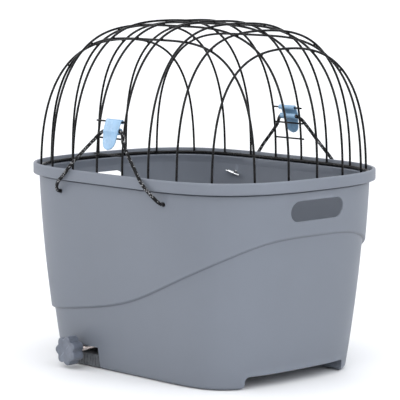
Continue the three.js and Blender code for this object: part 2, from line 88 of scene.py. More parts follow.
def make_camera():
    data = bpy.data.cameras.new("camera")
    camera = new_object("camera", data)
    data.lens = LENS
    data.sensor_width = 36
    data.shift_x, data.shift_y = CENTRE_OFF
    back = Vector((
        math.sin(AZIMUTH) * math.cos(ELEVATION),
        -math.cos(AZIMUTH) * math.cos(ELEVATION),
        math.sin(ELEVATION),
    ))
    camera.location = LOOK_AT + back * DISTANCE
    aim(camera, -back)
    bpy.context.scene.camera = camera


make_camera()

# ---------- mesh helpers ----------

SMOOTH_ANGLE = 35  # in degrees: a larger one between two faces stays a hard edge
BEVEL_FROM_ANGLE = 30
CAP_TURNS = (35, 65)  # rings of a tube's rounded end, in degrees
CAP_REACH = 0.6  # how far a rounded end stands out, as a share of the radius
ASIDE = (0.31, 0.2, 0.93)  # a direction that no path starts along
CURVE_CUTS = 16
TUBE_SIDES = 12


def mesh_object(name, verts, faces, smooth_angle=SMOOTH_ANGLE):
    """A new object, smooth except where faces meet at more than smooth_angle degrees."""
    mesh = bpy.data.meshes.new(name)
    mesh.from_pydata([tuple(v) for v in verts], [], [tuple(f) for f in faces])
    mesh.validate()
    piece = new_object(name, mesh)
    smooth(piece, smooth_angle)
    return piece


def smooth(piece, angle):
    bm = bmesh.new()
    bm.from_mesh(piece.data)
    bmesh.ops.recalc_face_normals(bm, faces=bm.faces)
    limit = math.radians(angle)
    for face in bm.faces:
        face.smooth = True
    for edge in bm.edges:
        edge.smooth = edge.calc_face_angle(0) < limit
    bm.to_mesh(piece.data)
    bm.free()


def apply_modifiers(piece):
    """Replaces the piece's mesh by what its modifiers make of it."""
    graph = bpy.context.evaluated_depsgraph_get()
    mesh = bpy.data.meshes.new_from_object(piece.evaluated_get(graph))
    old = piece.data
    piece.modifiers.clear()
    piece.data = mesh
    bpy.data.meshes.remove(old)


def discard(piece):
    mesh = piece.data
    bpy.data.objects.remove(piece)
    bpy.data.meshes.remove(mesh)


def boolean(piece, operation, *others):
    """Joins the other objects to the piece or cuts them from it. They are used up."""
    for other in others:
        modifier = piece.modifiers.new("bool", "BOOLEAN")
        modifier.operation = operation
        modifier.solver = "EXACT"
        modifier.object = other
    apply_modifiers(piece)
    for other in others:
        discard(other)
    return piece


def bevel(piece, width, segments):
    modifier = piece.modifiers.new("bevel", "BEVEL")
    modifier.width = width
    modifier.segments = segments
    modifier.limit_method = "ANGLE"
    modifier.angle_limit = math.radians(BEVEL_FROM_ANGLE)
    apply_modifiers(piece)
    smooth(piece, SMOOTH_ANGLE)
    return piece


def loft_faces(rings, count, closed=False):
    """Faces between rings of count points each. Open lofts get a flat face at both ends."""
    faces = []
    spans = rings if closed else rings - 1
    for i in range(spans):
        low = i * count
        high = ((i + 1) % rings) * count
        for j in range(count):
            k = (j + 1) % count
            faces.append((low + j, low + k, high + k, high + j))
    if not closed:
        faces.append(tuple(range(count)))
        faces.append(tuple(range((rings - 1) * count, rings * count)))
    return faces


def loft(name, rings, closed=False, smooth_angle=SMOOTH_ANGLE):
    verts = [p for ring in rings for p in ring]
    faces = loft_faces(len(rings), len(rings[0]), closed)
    return mesh_object(name, verts, faces, smooth_angle)


def frames_along(points):
    """Two directions across a path at each of its points, with no twist."""
    points = np.array(points)
    tangents = np.gradient(points, axis=0)
    tangents /= np.linalg.norm(tangents, axis=1)[:, None]
    side = np.cross(tangents[0], ASIDE)
    side /= np.linalg.norm(side)
    pairs = []
    for tangent in tangents:
        side = side - tangent * side.dot(tangent)
        side /= np.linalg.norm(side)
        pairs.append((side, np.cross(tangent, side)))
    return points, tangents, pairs


def tube_rings(points, radius, sides, rounded=True, relief=None):
    """Rings of a round tube along points. relief(i, j) adds to the radius at ring i, side j."""
    points, tangents, pairs = frames_along(points)
    rings = []
    for i, (point, (u, v)) in enumerate(zip(points, pairs)):
        ring = []
        for j in range(sides):
            angle = j / sides * TAU
            r = radius + (relief(i, j) if relief else 0)
            ring.append(point + r * (math.cos(angle) * u + math.sin(angle) * v))
        rings.append(ring)
    if rounded:
        for end, sign in ((0, -1), (-1, 1)):
            centre = points[end]
            caps = []
            for turn in CAP_TURNS:
                lift = math.sin(math.radians(turn)) * radius * CAP_REACH
                shrink = math.cos(math.radians(turn))
                caps.append([
                    centre + (p - centre) * shrink + sign * tangents[end] * lift for p in rings[end]
                ])
            rings = caps[::-1] + rings if end == 0 else rings + caps
    return rings


def tube(name, points, radius):
    return loft(name, tube_rings(points, radius, TUBE_SIDES))


def lathe(name, profile, place, steps=48, smooth_angle=SMOOTH_ANGLE, closed=False):
    """A turned body from a profile of (radius, height), moved by place.

    An open profile gets a flat face at both ends, and a closed one makes a ring.
    """
    rings = []
    for radius, height in profile:
        ring = []
        for j in range(steps):
            angle = j / steps * TAU
            point = (radius * math.cos(angle), radius * math.sin(angle), height)
            ring.append(place @ Vector(point))
        rings.append(ring)
    return loft(name, rings, closed, smooth_angle)


def washer(name, inner, outer, length, chamfer, place):
    """A turned ring with chamfered edges, along place's local Z from 0 to length."""
    profile = [
        (inner, chamfer), (inner + chamfer, 0), (outer - chamfer, 0), (outer, chamfer),
        (outer, length - chamfer), (outer - chamfer, length), (inner + chamfer, length),
        (inner, length - chamfer),
    ]
    return lathe(name, profile, place, closed=True)


def join(pieces, name):
    """One object from several."""
    bm = bmesh.new()
    for piece in pieces:
        bm.from_mesh(piece.data)
    mesh = bpy.data.meshes.new(name)
    bm.to_mesh(mesh)
    bm.free()
    for piece in pieces:
        discard(piece)
    return new_object(name, mesh)


def curve_points(points, step):
    """A centripetal Catmull-Rom curve through points, cut into lengths of about step."""
    points = [np.array(p, float) for p in points]
    ends = [2 * points[0] - points[1]] + points + [2 * points[-1] - points[-2]]
    dense = []
    for p0, p1, p2, p3 in zip(ends, ends[1:], ends[2:], ends[3:]):
        spans = [np.linalg.norm(b - a) for a, b in ((p0, p1), (p1, p2), (p2, p3))]
        t = np.cumsum([0] + [max(span, 1e-9) ** 0.5 for span in spans])
        for s in np.linspace(t[1], t[2], CURVE_CUTS, endpoint=False):
            def between(i, j, p, q):
                return (t[j] - s) / (t[j] - t[i]) * p + (s - t[i]) / (t[j] - t[i]) * q

            a1, a2, a3 = between(0, 1, p0, p1), between(1, 2, p1, p2), between(2, 3, p2, p3)
            dense.append(between(1, 2, between(0, 2, a1, a2), between(1, 3, a2, a3)))
    dense.append(points[-1])
    return even_points(dense, step)


def node_middle(node):
    """The middle of a CAD node's box."""
    low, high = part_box(node)
    return (Vector(low) + Vector(high)) / 2


def even_points(dense, step):
    """Points a whole number of equal steps apart along a dense path."""
    dense = np.array(dense)
    lengths = np.concatenate([[0], np.cumsum(np.linalg.norm(np.diff(dense, axis=0), axis=1))])
    count = max(2, round(lengths[-1] / step))
    at = np.linspace(0, lengths[-1], count + 1)
    return np.stack([np.interp(at, lengths, dense[:, i]) for i in range(3)], axis=1)


def arc(cx, cy, radius, start, end, steps):
    """Points on an arc from start to end degrees."""
    return [
        (cx + radius * math.cos(math.radians(t)), cy + radius * math.sin(math.radians(t)))
        for t in np.linspace(start, end, steps)
    ]


def rounding(start, end, steps):
    """Pairs of 1 - cosine and 1 - sine at even turns from start to end degrees."""
    turns = np.radians(np.linspace(start, end, steps))
    return list(zip(1 - np.cos(turns), 1 - np.sin(turns)))


# ---------- materials ----------

PALE_EDGE_FROM, PALE_EDGE_TO = 0.52, 0.6  # Blender's pointiness where the paler edge colour starts and where it is full: rubbing, and on the shell and the knob also painted highlight
CREASE_SHADE_DEPTH = 0.75  # how far the painted shade darkens the marked creases towards their shadow colour
BRAID_STRANDS = 12
BRAID_TURNS_PER_M = 420
FLECK_FROM = 0.9  # strands whose random number is above this are grey


class Nodes:
    """A short way to write a material's nodes."""

    def __init__(
        self, name, base, roughness, metallic=0.0, coat=0.0, coat_roughness=0.1, specular=0.5
    ):
        self.material = bpy.data.materials.new(name)
        self.material.use_nodes = True
        self.tree = self.material.node_tree
        self.shader = self.tree.nodes["Principled BSDF"]
        for key, value in (
            ("Base Color", (*base, 1)), ("Roughness", roughness), ("Metallic", metallic),
            ("Coat Weight", coat), ("Coat Roughness", coat_roughness),
            ("Specular IOR Level", specular),
        ):
            self.shader.inputs[key].default_value = value
        self.where = self.add("ShaderNodeTexCoord").outputs["Object"]
        self.height = None

    def feed(self, socket, value):
        """Gives a socket another node's output or a plain value."""
        if isinstance(value, bpy.types.NodeSocket):
            self.tree.links.new(value, socket)
        else:
            socket.default_value = value

    def add(self, kind, **values):
        node = self.tree.nodes.new(kind)
        for key, value in values.items():
            if key in node.inputs:
                self.feed(node.inputs[key], value)
            else:
                setattr(node, key, value)
        return node

    def noise(self, scale, detail, stretch=None):
        source = self.where
        if stretch:
            source = self.add("ShaderNodeMapping", Vector=source, Scale=stretch).outputs["Vector"]
        node = self.add("ShaderNodeTexNoise", Vector=source, Scale=scale, Detail=detail)
        return node.outputs["Fac"]

    def maths(self, operation, a, b=0.0):
        node = self.add("ShaderNodeMath", operation=operation)
        for socket, value in zip(node.inputs, (a, b)):
            self.feed(socket, value)
        return node.outputs[0]

    def spread(self, value, low, high, to_low, to_high):
        """The value, with the range from low to high brought to that from to_low to to_high."""
        ends = {"From Min": low, "From Max": high, "To Min": to_low, "To Max": to_high}
        return self.add("ShaderNodeMapRange", Value=value, **ends).outputs["Result"]

    def mix(self, factor, a, b):
        """A colour between a and b, each a colour or another node's output."""
        node = self.add("ShaderNodeMix", data_type="RGBA")
        self.feed(node.inputs[0], factor)
        for socket, value in ((node.inputs[6], a), (node.inputs[7], b)):
            self.feed(socket, (*value, 1) if isinstance(value, tuple) else value)
        return node.outputs[2]

    def base(self, output):
        self.tree.links.new(output, self.shader.inputs["Base Color"])

    def roughness(self, output):
        self.tree.links.new(output, self.shader.inputs["Roughness"])

    def bump(self, height, distance, strength=1.0):
        node = self.add("ShaderNodeBump", Height=height, Distance=distance, Strength=strength)
        if self.height is not None:
            self.tree.links.new(self.height, node.inputs["Normal"])
        self.height = node.outputs["Normal"]
        self.tree.links.new(self.height, self.shader.inputs["Normal"])

    def edges(self):
        """1 on convex edges, 0 on flat and hollow surfaces."""
        point = self.add("ShaderNodeNewGeometry").outputs["Pointiness"]
        return self.spread(point, PALE_EDGE_FROM, PALE_EDGE_TO, 0, 1)


def shades(colour, *factors):
    return [tuple(c * f for c in colour) for f in factors]


def shell_material():
    """Moulded blue-grey plastic: spark-eroded grain, soft mottling, paler edges partly from rubbing
    and partly painted highlight, and painted shade in the creases.
    """
    colour = (0.146, 0.162, 0.192)
    m = Nodes("shell_plastic", colour, 0.46, specular=0.42)
    dark, pale, rubbed_and_highlit_colour, shadow = shades(colour, 0.955, 1.045, 1.5, 0.4)
    mottled = m.mix(m.spread(m.noise(7, 4), 0.35, 0.65, 0, 1), dark, pale)
    streaks = m.noise(26, 3, stretch=(1, 1, 0.16))
    mottled = m.mix(m.spread(streaks, 0.45, 0.8, 0, 0.35), mottled, pale)
    grain = m.noise(1500, 2)
    speck = m.spread(grain, 0.3, 0.7, 0, 0.5)
    mottled = m.mix(speck, mottled, dark)
    # Paler convex edges: partly from rubbing, partly painted highlight.
    rubbed_and_highlit_edges = m.maths("MULTIPLY", m.edges(), m.spread(m.noise(60, 3), 0.35, 0.6, 0.2, 0.7))
    rubbed_and_highlit = m.mix(rubbed_and_highlit_edges, mottled, rubbed_and_highlit_colour)
    # Painted shade: the marked creases under the collar and at the foot of the wave's step darken
    # towards the shadow colour.
    crease_shade = m.add("ShaderNodeAttribute", attribute_name="crease_shade").outputs["Fac"]
    m.base(m.mix(m.maths("MULTIPLY", crease_shade, CREASE_SHADE_DEPTH), rubbed_and_highlit, shadow))
    m.roughness(m.spread(m.noise(14, 4), 0.3, 0.7, 0.41, 0.53))
    m.bump(grain, 0.00009, 0.5)
    m.bump(m.noise(420, 3), 0.00012, 0.3)
    m.bump(m.noise(9, 2), 0.0009, 0.12)
    return m.material


def wire_material():
    """Black powder coat over drawn wire, with a slight orange peel and high spots paler from
    rubbing.
    """
    colour = (0.0012, 0.0012, 0.0015)
    m = Nodes("coated_wire", colour, 0.3, coat=0.05, coat_roughness=0.12, specular=0.16)
    pale = (0.004, 0.004, 0.0045)
    m.base(m.mix(m.spread(m.noise(90, 3), 0.5, 0.75, 0, 0.6), colour, pale))
    m.roughness(m.spread(m.noise(160, 3), 0.3, 0.7, 0.22, 0.38))
    m.bump(m.noise(1100, 2), 0.00008, 0.6)
    m.bump(m.noise(260, 2), 0.00015, 0.3)
    return m.material


def hook_material():
    """Smooth light blue plastic with faint flow marks and edges paler from rubbing."""
    colour = (0.2, 0.35, 0.52)
    m = Nodes("hook_plastic", colour, 0.26, coat=0.5, coat_roughness=0.12)
    dark, pale = shades(colour, 0.9, 1.1)
    flow = m.mix(m.spread(m.noise(70, 4, stretch=(1, 1, 0.3)), 0.35, 0.65, 0, 1), dark, pale)
    m.base(m.mix(m.spread(m.edges(), 0, 1, 0, 0.35), flow, (0.5, 0.72, 0.9)))
    m.roughness(m.spread(m.noise(120, 3), 0.3, 0.7, 0.2, 0.32))
    m.bump(m.noise(900, 2), 0.00004, 0.5)
    return m.material


def cord_material():
    """Black braid: two crossing sets of strands, some of them grey, with fine threads in each."""
    black = (0.003, 0.003, 0.0035)
    grey = (0.32, 0.32, 0.33)
    m = Nodes("elastic_cord", black, 0.72, specular=0.12)
    m.shader.inputs["Sheen Weight"].default_value = 0.04
    uv = m.add("ShaderNodeTexCoord").outputs["UV"]
    split = m.add("ShaderNodeSeparateXYZ", Vector=uv)
    along = m.maths("MULTIPLY", split.outputs[0], BRAID_TURNS_PER_M)
    around = m.maths("MULTIPLY", split.outputs[1], BRAID_STRANDS)
    first = m.maths("ADD", around, along)
    second = m.maths("SUBTRACT", around, along)
    cell = m.add("ShaderNodeCombineXYZ")
    m.tree.links.new(m.maths("FLOOR", first), cell.inputs[0])
    m.tree.links.new(m.maths("FLOOR", second), cell.inputs[1])
    chance = m.add("ShaderNodeTexWhiteNoise", noise_dimensions="3D")
    m.tree.links.new(cell.outputs[0], chance.inputs["Vector"])
    fleck = m.maths("GREATER_THAN", chance.outputs["Value"], FLECK_FROM)
    fine = m.maths("SINE", m.maths("MULTIPLY", first, TAU * 4))
    shade = m.mix(m.spread(fine, -1, 1, 0, 1), black, (0.01, 0.01, 0.011))
    m.base(m.mix(fleck, shade, grey))
    m.roughness(m.spread(fine, -1, 1, 0.62, 0.82))
    m.bump(fine, 0.00005, 0.8)
    return m.material


def metal_material(name, colour, roughness, brushed):
    """Plated or drawn steel with fine lines and a few duller patches."""
    m = Nodes(name, colour, roughness, metallic=1.0)
    dull = tuple(c * 0.72 for c in colour)
    m.base(m.mix(m.spread(m.noise(140, 4), 0.45, 0.75, 0, 0.7), colour, dull))
    lines = m.noise(900, 2, stretch=brushed)
    m.roughness(m.spread(lines, 0.3, 0.7, roughness * 0.75, roughness * 1.3))
    m.bump(lines, 0.00004, 0.6)
    return m.material


def satin_material(name, colour, roughness, rubbed_and_highlit_colour):
    """Moulded plastic with a matt grain, slight mottling and paler convex edges: partly from
    rubbing, and on the knob painted highlight.
    """
    m = Nodes(name, colour, roughness, specular=0.45)
    dark, pale = shades(colour, 0.86, 1.14)
    mottled = m.mix(m.spread(m.noise(120, 4), 0.35, 0.65, 0, 1), dark, pale)
    # Paler convex edges: partly from rubbing, and on the knob painted highlight.
    rubbed_and_highlit_edges = m.maths("MULTIPLY", m.edges(), m.spread(m.noise(260, 3), 0.3, 0.6, 0.15, 0.8))
    m.base(m.mix(rubbed_and_highlit_edges, mottled, rubbed_and_highlit_colour))
    m.roughness(m.spread(m.noise(200, 3), 0.3, 0.7, roughness * 0.85, roughness * 1.15))
    m.bump(m.noise(1600, 2), 0.00008, 0.6)
    return m.material


def dress(piece, body, slot, material, *nodes):
    """Rides the piece on its body, gives it its finish and lets it stand for its CAD nodes."""
    piece.data.materials.clear()
    piece.data.materials.append(material)
    if body:
        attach(piece, body)
    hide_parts(*nodes)


WIRE = wire_material()
HOOK_BLUE = hook_material()
CORD_BLACK = cord_material()
SHELL_GREY = shell_material()
CHROME = metal_material("bar_steel", (0.78, 0.79, 0.8), 0.2, (0.1, 1, 1))
ZINC = metal_material("zinc_steel", (0.9, 0.8, 0.76), 0.26, (1, 0.1, 1))
# The knob's last colour is the paler colour of its edges, a painted highlight.
KNOB_GREY = satin_material("knob_plastic", (0.118, 0.133, 0.165), 0.34, (0.3, 0.33, 0.38))
JAW_GREY = satin_material("jaw_plastic", (0.06, 0.066, 0.075), 0.5, (0.16, 0.17, 0.18))
NYLON = satin_material("bush_plastic", (0.72, 0.71, 0.66), 0.38, (0.85, 0.84, 0.8))

# ---------- elastic cords ----------

CORD_R = 2.4 * MM
# Half of a cord's route, from its hole to the middle of its hook's channel, as distance from the
# hook's middle, outward position and height, in millimetres.
CORD_ROUTE = [
    (103.5, 161.6, 226.5), (103.4, 168.0, 226.7), (102.7, 173.0, 228.5), (100.0, 177.0, 232.6),
    (95.4, 180.0, 238.0), (89.6, 181.7, 243.4), (83.2, 182.0, 248.4), (77.0, 182.0, 253.8),
    (71.0, 181.5, 260.5), (60.5, 179.6, 271.5), (48.0, 178.4, 283.5), (37.0, 177.4, 294.6),
    (28.6, 176.0, 303.4), (23.0, 173.0, 310.7), (17.5, 170.3, 315.1), (13.5, 169.71, 316.0),
    (4.0, 169.66, 316.0),
]
HOOK_X = {"left": 8 * MM, "right": 0.0}
SHIFT_FROM, SHIFT_RISE = 275, 35  # above this height the cord moves over to its hook
CORD_SIDES = 24
CORD_STEP = 0.7 * MM
CORD_SMOOTH_ANGLE = 80
BRAID_RELIEF = 0.11 * MM


def cord_path(sign, centre_x):
    half = []
    for x, out, z in CORD_ROUTE:
        shift = centre_x * min(1, max(0, (z - SHIFT_FROM) / SHIFT_RISE))
        half.append((x * MM, sign * out * MM, z * MM, shift))
    first = [(-x + s, y, z) for x, y, z, s in half]
    last = [(x + s, y, z) for x, y, z, s in half][::-1]
    return curve_points(first + last, CORD_STEP)


def make_cord(side, sign):
    path = cord_path(sign, HOOK_X[side])

    def relief(i, j):
        along = i * CORD_STEP * BRAID_TURNS_PER_M
        around = j / CORD_SIDES * BRAID_STRANDS
        ridges = math.sin(math.pi * (around + along)) * math.sin(math.pi * (around - along))
        return BRAID_RELIEF * (abs(ridges) - 1)

    rings = tube_rings(path, CORD_R, CORD_SIDES, rounded=False, relief=relief)
    piece = loft(f"cord_{side}", rings, smooth_angle=CORD_SMOOTH_ANGLE)
    # U runs along the cord in metres, V once round it.
    layer = piece.data.uv_layers.new(name="along_and_round")
    for polygon in piece.data.polygons:
        if len(polygon.vertices) > 4:
            continue
        sides = [v % CORD_SIDES for v in polygon.vertices]
        wraps = max(sides) - min(sides) > 1
        for loop, vertex in zip(polygon.loop_indices, polygon.vertices):
            j = vertex % CORD_SIDES
            v = (j + CORD_SIDES if wraps and j == 0 else j) / CORD_SIDES
            layer.data[loop].uv = (vertex // CORD_SIDES * CORD_STEP, v)
    # The left cord rides on the tub, so it slips off its hook when the grid opens; the right one
    # rides on no body.
    dress(piece, None if sign > 0 else "tub", "elastic_cord", CORD_BLACK, f"elastic_cord_{side}")
    if sign > 0:
        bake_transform(piece)
    else:
        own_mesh(piece)


for side, sign in (("left", -1), ("right", 1)):
    make_cord(side, sign)

# ---------- cord end bars ----------

BAR_R, BAR_HALF = 1.5 * MM, 14 * MM
CRIMP_R, CRIMP_LENGTH, CRIMP_FROM = 2.8 * MM, 12 * MM, -9 * MM
CRIMP_WAIST = 0.8  # between its teeth, as a share of the crimp's radius
CRIMP_TEETH, TOOTH_STEPS = 5, 8
BAR_TILT = 0.2
BAR_END = [(0.35, 0.0), (0.75, 0.12), (0.95, 0.3), (1, 0.6)]  # radius and depth, in radii


def make_bar(side, end, centre):
    """A plated bar with a crimped, toothed sleeve on one half."""
    place = Matrix.Translation(centre) @ Matrix.Rotation(BAR_TILT + math.pi / 2, 4, "Y")
    low = [(BAR_R * r, -BAR_HALF + BAR_R * h) for r, h in BAR_END]
    high = [(BAR_R * r, BAR_HALF - BAR_R * h) for r, h in BAR_END][::-1]
    bar = lathe("bar", low + high, place, 24)
    crimp_to = CRIMP_FROM + CRIMP_LENGTH
    profile = [(BAR_R * 0.9, CRIMP_FROM), (CRIMP_R * CRIMP_WAIST, CRIMP_FROM)]
    steps = CRIMP_TEETH * TOOTH_STEPS
    for i in range(steps + 1):
        share = i / steps
        notch = 0.5 - 0.5 * math.cos(share * CRIMP_TEETH * TAU)
        reach = CRIMP_FROM + CRIMP_LENGTH * (0.02 + 0.96 * share)
        profile.append((CRIMP_R * (CRIMP_WAIST + (1 - CRIMP_WAIST) * notch ** 0.5), reach))
    profile += [(CRIMP_R * CRIMP_WAIST, crimp_to), (BAR_R * 0.9, crimp_to)]
    crimp = lathe("crimp", profile, place, 24, 50)
    piece = boolean(bar, "UNION", crimp)
    smooth(piece, 40)
    piece.name = f"t_bar_{side}_{end}"
    dress(piece, "tub", "bar_steel", CHROME, f"cord_bar_{side}_{end}")


for side in ("left", "right"):
    for end in ("front", "rear"):
        make_bar(side, end, node_middle(f"cord_bar_{side}_{end}"))

# ---------- tub ----------

FOOT_Z, COLLAR_Z, RIM_Z, LEDGE_Z = -0.017, 0.244, 0.259, 0.250
WALL_TOP_Z = 0.238
RIM = {"a": 0.2305, "b": 0.1783, "n": 4.2, "m": 2.75}
# The wall's half sizes and powers under the collar, and how they change down to the feet.
WALL_A, A_TAPER, A_CURVE = 0.2219, 0.0245, 0.0097
WALL_B, B_TAPER, B_CURVE = 0.1693, 0.022, 0.0085
WALL_N, N_RISE = 4.2, 2.4
WALL_M, M_RISE = 2.75, 0.4
WALL_T = 0.003
LIP_T = 0.0042
LEDGE_IN = 0.0125
STEP_OUT, STEP_IN = 0.0017, -0.0019
WAVE = (103.8, 66, 20.1, -1.9, -1.9, -4.1)  # cosine terms of the wave's height, in millimetres
STEP_HEIGHTS = (-6, -4, -2.6, -1.9, -1.3, -0.8, -0.3, 0.2, 0.6, 1.0, 1.5, 2.2, 3.4, 5)
RING_STEPS = 360
HALVINGS = 40  # of the searches for where a surface lies
# In millimetres: above the wall's top and outward from the wall, then above the collar's lower edge
# and inward from the rim.
COLLAR_GROOVE = (
    (2.0, 1.7), (3.0, 1.65), (3.5, 1.3), (4.0, 0.8), (4.7, 0.6), (5.2, 0.8), (5.4, 1.6),
)
COLLAR_EDGE = ((-0.5, 4.4), (-0.5, 2.0), (-0.3, 1.1), (0.1, 0.5), (0.9, 0.1), (1.8, 0))
# In millimetres, above and inward from the rim, the ledge's inner edge and the lip.
RIM_ROUND = ((-10, 0), (-6, 0), (-2.2, 0), (-1.2, 0.1), (-0.5, 0.5), (0, 1.3))
LEDGE_ROUND = ((-1.2, 0), (-0.4, -0.3), (0, -1.1), (20, -1.1))
LIP_FOOT = ((0, 0.6), (0.6, 0))
LIP_ROUND = ((-1.2, 0), (-0.4, -0.3), (0.1, -1.2), (20, -1.2))
# The bands where the shell's colour gets painted shade.
GROOVE_MARK = (3.2 * MM, 5.3 * MM)  # above the wall's top
STEP_MARK = (-2.8 * MM, -0.2 * MM)  # above the wave
SLOT_Z, SLOT_WIDTH, SLOT_HEIGHT = 0.2165, 0.097, 0.027
# Outward from the wall's face, and how far the slot flares there, in millimetres.
SLOT_FLARE = (
    (4, 1.3), (0.4, 1.3), (-0.1, 0.7), (-0.6, 0.22), (-1.3, 0),
    (-1.8, 0), (-2.4, 0.22), (-2.9, 0.7), (-3.4, 1.3), (-8, 1.3),
)
TUNNEL_HALF, TUNNEL_ROUND = 0.092, 0.006
CHANNEL_X, CHANNEL_HALF, CHANNEL_TOP = (-0.128, -0.058), 0.134, 0.020
MOUTH_TOP = 0.013
CORD_HOLE_X, CORD_HOLE_Z, CORD_HOLE_R = 0.1035, 0.2265, 0.0034
SCREW_HOLE_R, SCREW_HOLE_Z = 0.0026, (0.01, 0.03)
PAST, BELOW = 0.25, -0.04  # cutters run out beyond the part to these
SHELL_SMOOTH_ANGLE = 32


def outline(a, b, n, m, z, steps=RING_STEPS):
    """A superellipse at height z. Each value is one number or one for each step round it."""
    psi = np.arange(steps) / steps * TAU
    c, s = np.abs(np.cos(psi)), np.abs(np.sin(psi))
    low, high = np.zeros(steps), np.full(steps, 2.0)
    for _ in range(HALVINGS):
        middle = (low + high) / 2
        inside = (middle * c) ** n + (middle * s) ** m < 1
        low, high = np.where(inside, middle, low), np.where(inside, high, middle)
    return np.stack([a * low * np.cos(psi), b * low * np.sin(psi), z * np.ones(steps)], axis=1)


def wall_shape(z, offset):
    """The wall's half sizes and powers at height z. k is 0 under the collar and 1 at the feet."""
    k = (COLLAR_Z - z) / (COLLAR_Z - FOOT_Z)
    a = WALL_A - A_TAPER * k - A_CURVE * k * k + offset
    b = WALL_B - B_TAPER * k - B_CURVE * k * k + offset
    return a, b, WALL_N + N_RISE * k, WALL_M + M_RISE * k


def wall(z, offset):
    return outline(*wall_shape(z, offset), z)


def rim(z, inset):
    return outline(RIM["a"] - inset, RIM["b"] - inset, RIM["n"], RIM["m"], z)


def rims(base_z, base_inset, profile):
    return [rim(base_z + up * MM, base_inset + inset * MM) for up, inset in profile]


def wave_height(psi):
    return sum(term * MM * np.cos(k * psi) for k, term in enumerate(WAVE))


def wall_rings(offset, bottom, fillet, step_sharp):
    """The wall's outlines, from its rounded bottom edge up over the step of the wave."""
    wave = wave_height(np.arange(RING_STEPS) / RING_STEPS * TAU)
    rings = []
    for away, up in rounding(90, 0, 7):
        rings.append(wall(bottom + fillet * up, STEP_IN + offset - fillet * away))
    foot = bottom + fillet
    for share in np.linspace(0, 1, 9)[1:-1]:
        rings.append(wall(foot + (wave - 0.006 - foot) * share, STEP_IN + offset))
    # The step: a hollow below, then a quick turn out and a small round over the edge.
    middle = (STEP_OUT + STEP_IN) / 2
    half = (STEP_OUT - STEP_IN) / 2
    for up in STEP_HEIGHTS:
        share = math.tanh(up * step_sharp)
        rings.append(wall(wave + up * MM, middle + half * share + offset))
    for share in np.linspace(0, 1, 8)[1:]:
        low = wave + 0.005
        rings.append(wall(low + (WALL_TOP_Z - low) * share, STEP_OUT + offset))
    return rings


def rounded_block(name, x0, x1, y0, y1, z0, z1, radius):
    verts = [(x, y, z) for z in (z0, z1) for x, y in ((x0, y0), (x1, y0), (x1, y1), (x0, y1))]
    block = mesh_object(name, verts, loft_faces(2, 4))
    return bevel(block, radius, 4) if radius else block


def tunnel_cutter():
    """The space between the skirts: round at its roof's corners and at the skirts' lower edges."""
    half, fillet, low = TUNNEL_HALF, TUNNEL_ROUND, FOOT_Z - 0.02
    right = [(half + fillet, low), *arc(half + fillet, FOOT_Z + fillet, fillet, 270, 180, 8)]
    right += arc(half - fillet, -fillet, fillet, 0, 90, 8)
    left = [(-y, z) for y, z in right[::-1]]
    return loft("tunnel", [[(x, y, z) for y, z in right + left] for x in (-PAST, PAST)])


def wall_x(y, z):
    """The outer surface's distance from the middle, along X, in the upper part of an end wall."""
    a, b, n, m = wall_shape(z, STEP_OUT)
    return a * (1 - abs(y / b) ** m) ** (1 / n)


def slot_cutter(sign):
    """The hand slot. It follows the wall and flares at both faces, so that its edges are round."""
    radius = SLOT_HEIGHT / 2
    reach = (SLOT_WIDTH - SLOT_HEIGHT) / 2
    half_turn = np.linspace(-math.pi / 2, math.pi / 2, 17)
    edge = [(reach + radius * math.cos(t), SLOT_Z + radius * math.sin(t)) for t in half_turn]
    edge += [(-y, 2 * SLOT_Z - z) for y, z in edge]
    rings = []
    for depth, flare in SLOT_FLARE:
        ring = []
        for y, z in edge:
            core = Vector((min(max(y, -reach), reach), SLOT_Z))
            out = (Vector((y, z)) - core).normalized() * flare * MM
            ring.append((sign * (wall_x(y, z) + depth * MM), y + out.x, z + out.y))
        rings.append(ring)
    return loft("slot", rings)


def mark_crease_shade(shell):
    """Marks the outer points in the groove under the collar and at the foot of the wave's step,
    which get painted shade.
    """
    mesh = shell.data
    places = np.empty(len(mesh.vertices) * 3)
    mesh.vertices.foreach_get("co", places)
    x, y, z = places.reshape(-1, 3).T
    a, b, n, m = wall_shape(z, -0.5 * WALL_T)
    outside = np.abs(x / a) ** n + np.abs(y / b) ** m > 1
    wave = wave_height(np.arctan2(y / b, x / a))
    groove = (z > WALL_TOP_Z + GROOVE_MARK[0]) & (z < WALL_TOP_Z + GROOVE_MARK[1])
    step = (z > wave + STEP_MARK[0]) & (z < wave + STEP_MARK[1])
    # Painted shade: all of it in the groove, 0.6 of it at the step.
    shade_amount = np.where(outside & groove, 1.0, np.where(outside & step, 0.6, 0.0))
    layer = mesh.attributes.new("crease_shade", "FLOAT", "POINT")
    layer.data.foreach_set("value", shade_amount)


